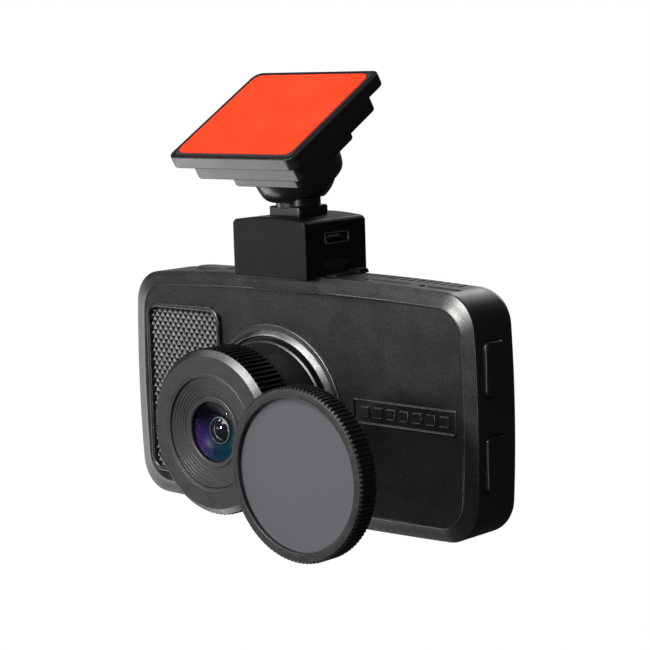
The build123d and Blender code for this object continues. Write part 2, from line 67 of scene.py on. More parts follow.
# ---------------- driving dimensions, millimetres
BODY_WIDTH, BODY_HEIGHT, BODY_DEPTH = 96.0, 51.3, 14.2
BULGE_TOP, BULGE_BOTTOM, BULGE_SIDE = 1.7, 0.75, 1.05
CORNER_RADIUS = 7.4
BEVEL_INSET, BEVEL_DEPTH = 2.75, 0.64
COVER_EDGE = 1.0
WALL = 1.6
BACK_EDGE_RADIUS = 2.6
BACK_WALL_FRONT = 12.3
SEAM = 0.05
HOLE_GAP = 0.35
DOME_STEPS, SPHERE_STEPS = 18, 26

LENS_X, LENS_Z = -6.0, 20.7
LENS_FACE_Y = -18.95
LENS_HOLE_RADIUS = 15.1
TRIM_RADIUS = 20.1
GRIP_RADIUS, GRIP_FRONT_Y, GRIP_REAR_Y = 17.2, -17.75, -9.9
BARREL_RADIUS = 16.4
FILTER_X, FILTER_Z = 24.95, 17.0
FILTER_FRONT_Y, FILTER_REAR_Y = -27.0, -21.7
FILTER_RADIUS, FILTER_OPENING = 17.15, 15.0

BLOCK_X, BLOCK_Y = -3.2, 6.8
BLOCK_WIDTH, BLOCK_DEPTH = 20.7, 18.8
BLOCK_BOTTOM_Z, BLOCK_SIDE_Z, BLOCK_TOP_Z = 51.6, 62.8, 63.45
BLOCK_LIP_Z, BLOCK_LIP_Y = 50.7, -0.35
BLOCK_WALL = 1.4
BLOCK_RIGHT = BLOCK_X + BLOCK_WIDTH / 2
PORT_Y, PORT_Z = 7.2, 58.9
BALL_RADIUS, SOCKET_OUTER, SOCKET_RIM = 8.2, 9.5, -2.7
TIER3_LOW, TIER2_LOW, TIER1_LOW = 1.5, 5.9, 10.45
FOAM_LOW, RIM_TOP, LINER_LOW, PAD_TOP = 12.2, 13.2, 13.35, 13.55
PLATE_SIZE, PLATE_RIM, LINER_SIZE = (35.4, 32.2), 1.1, (32.2, 29.0)
TIER2_SIZE, TIER3_SIZE = (30.4, 26.8), (20.2, 19.2)
PLATE_TILT = radians(31.0)

BUTTON_Y, BUTTON_WIDTH, BUTTON_FACE_X = 5.7, 6.0, 48.8
BUTTONS = {"upper_button": (35.15, 10.9), "lower_button": (16.3, 11.2)}
POWER_BUTTON = (-28.4, 7.6)
POWER_SIZE = (11.0, 5.0)
POWER_PROUD, POWER_SHOULDER_Z = 0.35, 48.2
CARD_SLOT, CARD_SLOT_SIZE = (22.8, 4.4), (11.5, 1.5)
VIDEO_SLOT, VIDEO_SLOT_SIZE = (36.05, 4.7), (10.0, 1.9)
VENT_Y, VENT_SIZE, VENT_PITCH = 9.6, (0.85, 3.2), 2.06
SLOT_FLOOR_Z, SLOT_RIM = 45.0, 0.14
GRILLE_X, GRILLE_Z = (-43.3, -20.5), (5.5, 43.3)
GRILLE_LIP, GRILLE_PROUD = 0.8, 0.9
SCREEN_X, SCREEN_Z = (-39.8, 39.8), (4.2, 46.5)
BADGE_X, BADGE_Z = (16.7, 43.4), (22.3, 27.3)
BADGE_PROUD, BADGE_BORDER = 0.4, 0.4
BADGE_BAR, BADGE_BAR_Z, BADGE_BARS = (2.4, 2.2), 24.8, [19.8 + 3.42 * i for i in range(7)]
SCREW_PLACES = [(x, z) for x in (-42.2, 42.2) for z in (8.0, 39.2)]
CROSS_LONG, CROSS_WIDE, CROSS_Y = 0.95, 0.22, (13.55, 14.6)
PORT_MOUTH, PORT_SHELL, PORT_INSIDE = (7.7, 2.7), (7.5, 2.5), (6.9, 1.9)
CAVITY_RADIUS = 9.05

# ---------------- where a flat sketch is placed
FRONT = Matrix(((1, 0, 0, 0), (0, 0, 1, 0), (0, 1, 0, 0), (0, 0, 0, 1)))
SIDE = Matrix(((0, 0, 1, 0), (1, 0, 0, 0), (0, 1, 0, 0), (0, 0, 0, 1)))
UPRIGHT = Matrix.Identity(4)
PLATE = Matrix.Translation(BALL_CENTRE) @ Matrix.Rotation(PLATE_TILT, 4, "X")


# ---------------- outlines
def arc(centre, radius, start, end, steps):
    """Points on a circular arc, both ends included; angles in radians."""
    turns = [start + (end - start) * i / steps for i in range(steps + 1)]
    return [Vector((centre[0] + radius * cos(a), centre[1] + radius * sin(a))) for a in turns]


def circle(centre, radius, steps=96):
    return arc(centre, radius, 0, tau, steps)[:-1]


def rounded_rectangle(low, high, radius, steps=8):
    """A rectangle from its low and high corners, counter-clockwise, with round corners."""
    (x0, y0), (x1, y1) = low, high
    corners = [(x1 - radius, y0 + radius, -pi / 2), (x1 - radius, y1 - radius, 0.0),
               (x0 + radius, y1 - radius, pi / 2), (x0 + radius, y0 + radius, pi)]
    points = []
    for x, y, start in corners:
        points += arc((x, y), radius, start, start + pi / 2, steps)
    return points


def centred(x, y, width, height, radius, steps=8):
    """A rounded rectangle about its middle."""
    half = Vector((width, height)) / 2
    middle = Vector((x, y))
    return rounded_rectangle(middle - half, middle + half, radius, steps)


def window(x, z, inset, radius, steps=8):
    """A rounded rectangle from its x and z limits, moved in by inset."""
    return rounded_rectangle((x[0] + inset, z[0] + inset), (x[1] - inset, z[1] - inset), radius, steps)


def slot_shape(x, y, width, height, steps=10):
    return centred(x, y, width, height, min(width, height) / 2 - 0.001, steps)


def soften(points, radius, steps=3):
    """A closed outline with each real corner rounded off."""
    result = []
    count = len(points)
    points = [Vector(p) for p in points]
    for i, corner in enumerate(points):
        before, after = points[i - 1] - corner, points[(i + 1) % count] - corner
        if before.angle(after) > radians(168):
            result.append(corner)
            continue
        reach = min(radius, 0.45 * before.length, 0.45 * after.length)
        start, end = corner + before.normalized() * reach, corner + after.normalized() * reach
        for step in range(steps + 1):
            t = step / steps
            result.append(start * (1 - t) ** 2 + corner * 2 * t * (1 - t) + end * t ** 2)
    return result


def inset_loop(loop, distance):
    """The outline moved to the left of its direction of travel, with mitred corners."""
    result = []
    count = len(loop)
    for i, point in enumerate(loop):
        before = (point - loop[i - 1]).normalized()
        after = (loop[(i + 1) % count] - point).normalized()
        left_before, left_after = Vector((-before.y, before.x)), Vector((-after.y, after.x))
        mitre = (left_before + left_after) / max(1 + left_before.dot(left_after), 0.3)
        result.append(point + mitre * distance)
    return result


def body_outline(inset, bulge=1.0):
    """The camera body's front outline: four arched sides and round corners, moved in by inset."""
    half = BODY_WIDTH / 2 - BULGE_SIDE - inset
    top, bottom = BODY_HEIGHT - BULGE_TOP - inset, BULGE_BOTTOM + inset
    middle, reach = (top + bottom) / 2, (top - bottom) / 2
    rise, drop, out = BULGE_TOP * bulge, BULGE_BOTTOM * bulge, BULGE_SIDE * bulge
    top_arc = arch(half, rise)
    bottom_arc = arch(half, drop)
    side_arc = arch(reach, out)
    top_centre = Vector((0, top + rise - top_arc))
    bottom_centre = Vector((0, bottom - drop + bottom_arc))
    side_centre = Vector((half + out - side_arc, middle))
    corner = CORNER_RADIUS - 0.6 * inset
    high = touching(top_centre, top_arc - corner, side_centre, side_arc - corner, 1)
    low = touching(bottom_centre, bottom_arc - corner, side_centre, side_arc - corner, -1)
    to_top, to_side = high - top_centre, high - side_centre
    to_bottom, to_low_side = low - bottom_centre, low - side_centre
    right = arc(side_centre, side_arc, angle(to_low_side), angle(to_side), 14)
    right += arc(high, corner, angle(to_side), angle(to_top), 14)[1:]
    right += arc(top_centre, top_arc, angle(to_top), pi / 2, 16)[1:]
    left = [Vector((-p.x, p.y)) for p in reversed(right[:-1])]
    below = arc(bottom_centre, bottom_arc, -pi - angle(to_bottom), angle(to_bottom), 28)[1:-1]
    corner_left = arc(low, corner, angle(to_low_side), angle(to_bottom), 14)[1:]
    corner_left = [Vector((-p.x, p.y)) for p in corner_left]
    corner_right = arc(low, corner, angle(to_bottom), angle(to_low_side), 14)[:-1]
    return right + left + corner_left + below + corner_right


def arch(half_chord, rise):
    """Radius of the arc with that half chord and rise."""
    return (half_chord ** 2 + rise ** 2) / (2 * rise)


def angle(direction):
    turn = acos(max(-1, min(1, direction.x / direction.length)))
    return turn if direction.y >= 0 else -turn


def touching(centre_a, reach_a, centre_b, reach_b, side):
    """Where two circles meet, on the right, above (side 1) or below (side -1)."""
    apart = centre_b - centre_a
    along = (reach_a ** 2 - reach_b ** 2 + apart.length_squared) / (2 * apart.length)
    across = (reach_a ** 2 - along ** 2) ** 0.5
    direction = apart.normalized()
    normal = Vector((-direction.y, direction.x))
    options = [centre_a + direction * along + normal * across * sign for sign in (1, -1)]
    right = [p for p in options if p.x > 0 and (p.y - BODY_HEIGHT / 2) * side > 0]
    return right[0] if right else max(options, key=lambda p: p.x)


# ---------------- solids as (points, faces)
def skin(rings):
    """Quads between closed rings of equal length, in order."""
    count = len(rings[0])
    points = [p for ring in rings for p in ring]
    faces = []
    for r in range(len(rings) - 1):
        for i in range(count):
            j = (i + 1) % count
            faces.append((r * count + i, r * count + j, (r + 1) * count + j, (r + 1) * count + i))
    return points, faces


def join(*shapes):
    points, faces = [], []
    for more_points, more_faces in shapes:
        start = len(points)
        points += more_points
        faces += [tuple(start + i for i in face) for face in more_faces]
    return points, faces


def moved(shape, matrix):
    points, faces = shape
    return [matrix @ Vector(p) for p in points], faces


def cap(loops, height):
    """A flat face inside the first loop, open at the other loops."""
    flat = [Vector((p.x, p.y, height)) for loop in loops for p in loop]
    if len(loops) == 1:
        return flat, [tuple(range(len(flat)))]
    outlines = [[Vector((p.x, p.y, 0)) for p in loop] for loop in loops]
    return flat, [tuple(face) for face in tessellate_polygon(outlines)]


def edge_steps(low, high, soft_low, soft_high, steps):
    """(inset, height) pairs up a wall whose two edges are rounded."""
    turns = [i / steps * pi / 2 for i in range(steps + 1)]
    lower = [(soft_low * (1 - sin(a)), low + soft_low * (1 - cos(a))) for a in turns]
    upper = [(soft_high * (1 - cos(a)), high - soft_high * (1 - sin(a))) for a in turns]
    return (lower if soft_low else [(0, low)]) + (upper if soft_high else [(0, high)])


def level_ring(loop, inset, height):
    """The outline moved in by inset, at one height."""
    return [Vector((p.x, p.y, height)) for p in inset_loop(loop, inset)]


def stack(loop, levels):
    """A closed solid through (inset, height) levels of one outline."""
    ends = [cap([inset_loop(loop, inset)], height) for inset, height in (levels[0], levels[-1])]
    return join(skin([level_ring(loop, *level) for level in levels]), *ends)


def slab(outer, low, high, place=FRONT, holes=(), soft=0.12, soft_high=None, steps=3):
    """A plate between two heights, with through holes and rounded edges all round."""
    soft_high = soft if soft_high is None else soft_high
    loops = [list(outer)] + [list(reversed(hole)) for hole in holes]
    levels = edge_steps(low, high, soft, soft_high, steps)
    walls = []
    for loop in loops:
        walls.append(skin([level_ring(loop, *level) for level in levels]))
    ends = [cap([inset_loop(loop, inset) for loop in loops], height)
            for inset, height in (levels[0], levels[-1])]
    return moved(join(*walls, *ends), place)


def lathe(profile, centre=(0, 0), place=FRONT, steps=144, soft=0.06, ribs=None):
    """A ring turned about an axis; the closed profile is (radius, height along the axis)."""
    outline = soften(profile, soft) if soft else [Vector(p) for p in profile]
    turns = [(tau * i / steps, 0.0) for i in range(steps)]
    depth, limit = 0.0, 0.0
    if ribs:
        turns, depth, limit = rib_turns(ribs["count"]), ribs["depth"], ribs["above"]
    rings = []
    for turn, groove in turns:
        ring = []
        for radius, height in outline:
            share = min(1, max(0, (radius - limit) / depth)) if depth else 0
            reach = radius - groove * depth * share
            ring.append(Vector((centre[0] + reach * cos(turn), centre[1] + reach * sin(turn), height)))
        rings.append(ring)
    points, faces = skin(rings + [rings[0]])
    return moved((points, faces), place)


def rib_turns(count):
    """(angle, groove depth share) pairs round a knurled ring: flat crests and deep grooves."""
    shape = [(0.0, 0.12), (0.06, 0.0), (0.44, 0.0), (0.5, 0.12), (0.6, 1.0), (0.9, 1.0)]
    return [(tau * (i + share) / count, depth) for i in range(count) for share, depth in shape]


def dome(radius, edge, rise, thickness, centre):
    """A lens element: a cap that rises towards -Y over a flat-backed disc."""
    curve = arch(radius, rise)
    reach = acos((curve - rise) / curve)
    turns = [reach * i / DOME_STEPS for i in range(DOME_STEPS + 1)]
    cap_points = [(curve * sin(turn), edge - rise + curve * (1 - cos(turn))) for turn in turns]
    profile = cap_points + [(radius, edge + thickness), (0, edge + thickness)]
    return lathe(profile, centre, soft=0, steps=96)


def bar(x, y, z):
    """A plain block used as a cutter, from (low, high) pairs."""
    points = [Vector((a, b, c)) for c in z for b in y for a in x]
    return points, [(0, 1, 3, 2), (4, 6, 7, 5), (0, 4, 5, 1), (2, 3, 7, 6), (0, 2, 6, 4), (1, 5, 7, 3)]


# ---------------- pieces from solids
node_body = {node: body for body, nodes in record["behaviour"]["bodies"].items() for node in nodes}
node_slot = {part["node"]: part["material_slot"] for part in record["subparts"]}


def raw_object(name, shape):
    """An object still in working millimetres, closed and facing outwards."""
    mesh = bpy.data.meshes.new(name)
    mesh.from_pydata([tuple(p) for p in shape[0]], [], shape[1])
    edit = bmesh.new()
    edit.from_mesh(mesh)
    bmesh.ops.remove_doubles(edit, verts=edit.verts, dist=1e-4)
    bmesh.ops.recalc_face_normals(edit, faces=edit.faces)
    edit.to_mesh(mesh)
    edit.free()
    thing = bpy.data.objects.new(name, mesh)
    bpy.context.scene.collection.objects.link(thing)
    return thing


def apply_modifiers(thing):
    bpy.context.view_layer.update()
    seen = thing.evaluated_get(bpy.context.evaluated_depsgraph_get())
    mesh = bpy.data.meshes.new_from_object(seen)
    thing.modifiers.clear()
    thing.data = mesh


def carve(thing, shape, operation="DIFFERENCE"):
    """Cuts a solid out of the object, or keeps only what they share."""
    tool = raw_object("cutter", shape)
    modifier = thing.modifiers.new("carve", "BOOLEAN")
    modifier.object = tool
    modifier.operation = operation
    modifier.solver = "EXACT"
    apply_modifiers(thing)
    bpy.data.objects.remove(tool)


def finish_piece(thing, material, nodes, sharp, accent):
    """Moves the piece to the row frame, shades it, and ties it to its body and nodes.

    accent is a second material and a test of a face's middle that says where it goes.
    """
    thing.data.materials.clear()
    thing.data.materials.append(material)
    if accent:
        thing.data.materials.append(accent[0])
        for face in thing.data.polygons:
            face.material_index = int(accent[1](face.center))
    thing.data.transform(TO_ROW)
    thing.data.shade_smooth()
    thing.data.set_sharp_from_angle(angle=radians(sharp))
    weights = thing.modifiers.new("weights", "WEIGHTED_NORMAL")
    weights.keep_sharp = True
    apply_modifiers(thing)
    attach(thing, node_body[nodes[0]])
    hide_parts(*nodes)
    return thing


def piece(node, shape, material, cuts=(), keeps=(), adds=(), sharp=48.0, accent=None):
    """A detailed mesh that stands for one CAD node."""
    thing = raw_object(node + "_mesh", shape)
    for more in adds:
        carve(thing, more, "UNION")
    for cutter in cuts:
        carve(thing, cutter)
    for keeper in keeps:
        carve(thing, keeper, "INTERSECT")
    return finish_piece(thing, material, [node], sharp, accent)


# ---------------- materials
NOISE_ROUGHNESS, NOISE_LOW, NOISE_HIGH = 0.55, 0.3, 0.7


def material(name, colour, roughness, metallic=0.0, sockets=None):
    """A material with one Principled shader; sockets are that shader's other values."""
    made = bpy.data.materials.new(name)
    made.use_nodes = True
    shader = shader_of(made)
    shader.inputs["Base Color"].default_value = (*colour, 1)
    shader.inputs["Roughness"].default_value = roughness
    shader.inputs["Metallic"].default_value = metallic
    for socket, value in (sockets or {}).items():
        shader.inputs[socket].default_value = value
    return made


def shader_of(made):
    return made.node_tree.nodes["Principled BSDF"]


def add(made, kind, inputs=None, **settings):
    """A node in the material's tree with its settings and unlinked values."""
    node = made.node_tree.nodes.new(kind)
    for key, value in settings.items():
        setattr(node, key, value)
    for socket, value in (inputs or {}).items():
        node.inputs[socket].default_value = value
    return node


def link(made, source, target):
    made.node_tree.links.new(source, target)


def place_on_piece(made):
    return add(made, "ShaderNodeTexCoord").outputs["Object"]


def noise(made, size, detail=3.0):
    """Noise whose features are about size millimetres across."""
    node = add(made, "ShaderNodeTexNoise",
               {"Scale": 1 / (size * MM), "Detail": detail, "Roughness": NOISE_ROUGHNESS})
    link(made, place_on_piece(made), node.inputs["Vector"])
    return node.outputs["Fac"]


def bump(made, height, depth):
    """Relief of depth millimetres, added to any relief that the material already has."""
    shader = shader_of(made)
    node = add(made, "ShaderNodeBump", {"Distance": depth * MM, "Strength": 1.0})
    link(made, height, node.inputs["Height"])
    if shader.inputs["Normal"].is_linked:
        link(made, shader.inputs["Normal"].links[0].from_socket, node.inputs["Normal"])
    link(made, node.outputs["Normal"], shader.inputs["Normal"])


def spread(made, source, low, high, socket):
    """Feeds a varying value between low and high to one shader socket."""
    node = add(made, "ShaderNodeMapRange",
               {"From Min": NOISE_LOW, "From Max": NOISE_HIGH, "To Min": low, "To Max": high})
    link(made, source, node.inputs["Value"])
    link(made, node.outputs["Result"], shader_of(made).inputs[socket])


def tones(made, source, low, high, start=NOISE_LOW, end=NOISE_HIGH):
    """Feeds a colour that varies between two tones to the base colour."""
    ramp = add(made, "ShaderNodeValToRGB")
    ramp.color_ramp.elements[0].position = start
    ramp.color_ramp.elements[0].color = (*low, 1)
    ramp.color_ramp.elements[1].position = end
    ramp.color_ramp.elements[1].color = (*high, 1)
    link(made, source, ramp.inputs["Fac"])
    link(made, ramp.outputs["Color"], shader_of(made).inputs["Base Color"])


def cells(made, size):
    """A random grey for each cell, about size millimetres across."""
    node = add(made, "ShaderNodeTexVoronoi", {"Scale": 1 / (size * MM)})
    link(made, place_on_piece(made), node.inputs["Vector"])
    grey = add(made, "ShaderNodeSeparateColor")
    link(made, node.outputs["Color"], grey.inputs["Color"])
    return grey.outputs["Red"]


def turned_grooves(made, x, z, pitch):
    """Concentric tool marks about an axis along Y, as on a turned ring."""
    middle = TO_ROW @ Vector((x, 0, z))
    shift = add(made, "ShaderNodeVectorMath", {1: middle}, operation="SUBTRACT")
    link(made, place_on_piece(made), shift.inputs[0])
    flat = add(made, "ShaderNodeVectorMath", {1: (1, 0, 1)}, operation="MULTIPLY")
    link(made, shift.outputs["Vector"], flat.inputs[0])
    reach = add(made, "ShaderNodeVectorMath", operation="LENGTH")
    link(made, flat.outputs["Vector"], reach.inputs[0])
    turn = add(made, "ShaderNodeMath", {1: tau / (pitch * MM)}, operation="MULTIPLY")
    link(made, reach.outputs["Value"], turn.inputs[0])
    wave = add(made, "ShaderNodeMath", operation="SINE")
    link(made, turn.outputs["Value"], wave.inputs[0])
    return wave.outputs["Value"]


def gunmetal_paint(name, flaked=True):
    made = material(name, (0.045, 0.046, 0.043), 0.28, 0.85,
                    {"Coat Weight": 0.15, "Coat Roughness": 0.2})
    flake = cells(made, 0.17)
    tones(made, flake, (0.046, 0.047, 0.044), (0.082, 0.083, 0.079), 0.7, 1.0)
    spread(made, noise(made, 7.0), 0.25, 0.32, "Roughness")
    if flaked:
        bump(made, flake, 0.0010)
        bump(made, noise(made, 0.3), 0.003)
    return made


def moulded_black(name, tone, roughness, grain, depth, patch=5.0):
    """Black moulded plastic with a fine even grain; its gloss varies over patches of patch mm."""
    made = material(name, (tone, tone, tone * 1.04), roughness)
    spread(made, noise(made, patch), roughness - 0.05, roughness + 0.06, "Roughness")
    tones(made, noise(made, grain * 4), (tone * 0.8,) * 3, (tone * 1.25, tone * 1.25, tone * 1.3))
    bump(made, noise(made, grain, 2.0), depth)
    return made


def anodised(name, tone, roughness, x, z, pitch=0.11):
    """Black anodised metal with fine turning marks about an axis."""
    made = material(name, (tone, tone, tone), roughness, 0.85)
    spread(made, noise(made, 2.5), roughness - 0.04, roughness + 0.07, "Roughness")
    tones(made, noise(made, 0.25), (tone * 0.8,) * 3, (tone * 1.3,) * 3)
    bump(made, turned_grooves(made, x, z, pitch), 0.0012)
    return made


def blasted_metal(name, tone, roughness):
    """Bead-blasted bare metal: a fine even sparkle."""
    made = material(name, (tone, tone, tone * 0.98), roughness, 1.0)
    tones(made, noise(made, 0.12, 1.0), (tone * 0.72,) * 3, (tone * 1.25, tone * 1.25, tone * 1.22))
    spread(made, noise(made, 1.5), roughness - 0.05, roughness + 0.08, "Roughness")
    bump(made, noise(made, 0.1, 1.0), 0.006)
    return made


def liner_film():
    made = material("liner_film", (0.95, 0.05, 0.016), 0.5, 0.0, {"Specular IOR Level": 0.12})
    tones(made, noise(made, 9.0), (0.90, 0.044, 0.013), (1.0, 0.058, 0.019))
    bump(made, noise(made, 6.0, 1.5), 0.03)
    bump(made, noise(made, 0.3, 1.0), 0.002)
    return made


def closed_foam():
    made = material("closed_foam", (0.012, 0.012, 0.013), 0.85)
    node = add(made, "ShaderNodeTexVoronoi", {"Scale": 1 / (0.22 * MM)})
    link(made, place_on_piece(made), node.inputs["Vector"])
    # Painted shade: the cell distance that sinks the pits below also darkens them, so each pit is painted darker
    # towards its bottom.
    tones(made, node.outputs["Distance"], (0.006, 0.006, 0.007), (0.022, 0.022, 0.023), 0.1, 0.6)
    bump(made, node.outputs["Distance"], 0.06)
    return made


def clear_glass(name, colour, transmission, roughness, alpha=1.0):
    """Smooth glass, slightly uneven in gloss; alpha lets what is behind it show."""
    made = material(name, colour, roughness, 0.0,
                    {"Transmission Weight": transmission, "IOR": 1.5, "Alpha": alpha})
    spread(made, noise(made, 4.0), roughness * 0.6, roughness * 1.8, "Roughness")
    return made


def painted_reflection_cup():
    """The cup behind the front glass, with a painted reflection of the coated lens in its colour: violet to the
    left, teal to the right, dark above.
    """
    made = material("painted_reflection_cup", (0.05, 0.03, 0.2), 0.3, 0.0, {"Specular IOR Level": 0.06})
    middle = TO_ROW @ Vector((LENS_X, 0, LENS_Z))
    shift = add(made, "ShaderNodeVectorMath", {1: middle}, operation="SUBTRACT")
    link(made, place_on_piece(made), shift.inputs[0])
    axes = add(made, "ShaderNodeSeparateXYZ")
    link(made, shift.outputs["Vector"], axes.inputs["Vector"])
    across = add(made, "ShaderNodeMapRange",
                 {"From Min": -5.8 * MM, "From Max": 5.0 * MM, "To Min": 0, "To Max": 1})
    link(made, axes.outputs["X"], across.inputs["Value"])
    # Painted reflection: the violet, blue and teal that the coated lens reflects are set in the base colour from
    # left to right.
    ramp = add(made, "ShaderNodeValToRGB")
    band = [(0.0, (0.030, 0.009, 0.075)), (0.2, (0.012, 0.008, 0.060)),
            (0.42, (0.001, 0.010, 0.030)), (0.78, (0.001, 0.020, 0.028)),
            (1.0, (0.001, 0.016, 0.018))]
    elements = ramp.color_ramp.elements
    elements[0].position, elements[0].color = band[0][0], (*band[0][1], 1)
    elements[1].position, elements[1].color = band[-1][0], (*band[-1][1], 1)
    for position, colour in band[1:-1]:
        elements.new(position).color = (*colour, 1)
    link(made, across.outputs["Result"], ramp.inputs["Fac"])
    # Painted reflection: the top of the cup is darkened to near black, as the coated lens reflects dark
    # surroundings there.
    upward = add(made, "ShaderNodeMapRange",
                 {"From Min": -1.0 * MM, "From Max": 2.8 * MM, "To Min": 0, "To Max": 1})
    link(made, axes.outputs["Z"], upward.inputs["Value"])
    dark = add(made, "ShaderNodeMix", data_type="RGBA")
    dark_inputs = [socket for socket in dark.inputs if socket.type == "RGBA"]
    link(made, upward.outputs["Result"], dark.inputs[0])
    link(made, ramp.outputs["Color"], dark_inputs[0])
    dark_inputs[1].default_value = (0.002, 0.002, 0.004, 1)
    outputs = [socket for socket in dark.outputs if socket.type == "RGBA"]
    link(made, outputs[0], shader_of(made).inputs["Base Color"])
    bump(made, noise(made, 1.0), 0.002)
    return made


def bright_metal(name, colour, roughness, grain=0.4):
    """Bare or plated sheet metal with a faint brushed unevenness."""
    made = material(name, colour, roughness, 1.0)
    dark = tuple(c * 0.82 for c in colour)
    light = tuple(min(1, c * 1.12) for c in colour)
    tones(made, noise(made, grain), dark, light)
    spread(made, noise(made, grain * 5), roughness - 0.06, roughness + 0.1, "Roughness")
    bump(made, noise(made, grain * 0.4), 0.003)
    return made


def dull(name, low, high, roughness, grain):
    """A plain dull material that mottles between two tones."""
    made = material(name, low, roughness)
    tones(made, noise(made, grain), low, high)
    spread(made, noise(made, grain * 3), roughness - 0.06, roughness + 0.08, "Roughness")
    bump(made, noise(made, grain * 0.5), 0.004)
    return made


paint = gunmetal_paint("gunmetal_paint")
trim_paint = gunmetal_paint("trim_paint", flaked=False)
shell_black = moulded_black("shell_black", 0.011, 0.40, 0.16, 0.006)
button_black = moulded_black("button_black", 0.010, 0.30, 0.22, 0.003)
mount_black = moulded_black("mount_black", 0.012, 0.27, 0.30, 0.0006, 8.0)
block_black = moulded_black("block_black", 0.006, 0.36, 0.20, 0.0015, 8.0)
shader_of(block_black).inputs["Specular IOR Level"].default_value = 0.16
grille_black = material("grille_black", (0.06, 0.06, 0.058), 0.38, 0.85)
spread(grille_black, noise(grille_black, 1.2), 0.34, 0.42, "Roughness")
tones(grille_black, noise(grille_black, 3.0), (0.052, 0.052, 0.050), (0.070, 0.070, 0.067))
lens_ring = anodised("lens_ring", 0.050, 0.42, LENS_X, LENS_Z)
lens_barrel_black = anodised("lens_barrel_black", 0.034, 0.44, LENS_X, LENS_Z)
grip_black = anodised("grip_black", 0.020, 0.34, LENS_X, LENS_Z, 0.2)
filter_ring_black = anodised("filter_ring_black", 0.042, 0.42, FILTER_X, FILTER_Z)
bevel_metal = blasted_metal("bevel_metal", 0.12, 0.36)
trim_metal = blasted_metal("trim_metal", 0.16, 0.33)
film = liner_film()
foam = closed_foam()
front_element = clear_glass("front_element", (0.01, 0.01, 0.016), 0.0, 0.04, alpha=0.02)
inner_element = clear_glass("inner_element", (0.006, 0.010, 0.012), 0.0, 0.06)
shader_of(inner_element).inputs["Specular Tint"].default_value = (1.0, 0.72, 0.70, 1)
collar_grey = material("collar_grey", (0.10, 0.13, 0.125), 0.35, 0.3)
spread(collar_grey, noise(collar_grey, 0.8), 0.3, 0.42, "Roughness")
filter_grey = clear_glass("filter_grey", (0.092, 0.094, 0.103), 0.04, 0.05)
screen_black = material("screen_black", (0.004, 0.004, 0.005), 0.06, 0.0, {"Coat Weight": 0.6})
spread(screen_black, noise(screen_black, 14.0), 0.04, 0.12, "Roughness")
# The lens cup's base colour holds a painted reflection of the coated lens.
painted_lens_reflection = painted_reflection_cup()
steel = bright_metal("plated_steel", (0.50, 0.50, 0.51), 0.28)
socket_metal = bright_metal("socket_metal", (0.36, 0.355, 0.34), 0.28)
gold = bright_metal("gold_plate", (0.83, 0.60, 0.25), 0.22)
foil = bright_metal("cell_foil", (0.60, 0.60, 0.62), 0.35, 1.2)
solder_mask = dull("solder_mask", (0.012, 0.10, 0.035), (0.02, 0.16, 0.06), 0.35, 1.4)
ceramic = dull("fired_ceramic", (0.52, 0.45, 0.33), (0.70, 0.62, 0.48), 0.6, 0.5)
chip_black = dull("chip_black", (0.012, 0.012, 0.013), (0.03, 0.03, 0.031), 0.5, 0.4)

SLOT_MATERIALS = {
    "front_paint": paint, "case_plastic": shell_black, "mount_plastic": mount_black, "liner_red": film,
    "foam_black": foam, "grille_black": grille_black, "grip_black": grip_black,
    "lens_metal": lens_barrel_black, "trim_satin": trim_metal, "lens_glass": inner_element,
    "filter_glass": filter_grey, "screen_glass": screen_black, "screw_steel": steel,
    "socket_steel": socket_metal, "contact_gold": gold, "board_green": solder_mask,
    "ceramic": ceramic, "chip_black": chip_black, "cell_foil": foil,
    "spreader_metal": foil, "magnet_metal": steel,
}


# ---------------- camera casing
def cover_rings():
    """Loops of the front cover from its back edge, over bevel and ridge, to the flat face."""
    edge, crest = body_outline(0), body_outline(BEVEL_INSET, 0.75)
    across = [b - a for a, b in zip(edge, crest)]
    # (share of the way from the edge to the crest, y)
    steps = [(0.0, COVER_EDGE), (0.0, BEVEL_DEPTH + 0.14), (0.012, BEVEL_DEPTH + 0.04),
             (0.045, BEVEL_DEPTH - 0.035), (0.5, BEVEL_DEPTH / 2), (0.93, 0.045), (0.955, -0.03),
             (0.985, -0.07), (1.03, -0.07), (1.065, -0.03), (1.1, 0.0)]
    return [[Vector((a.x + d.x * share, a.y + d.y * share, y)) for a, d in zip(edge, across)]
            for share, y in steps]


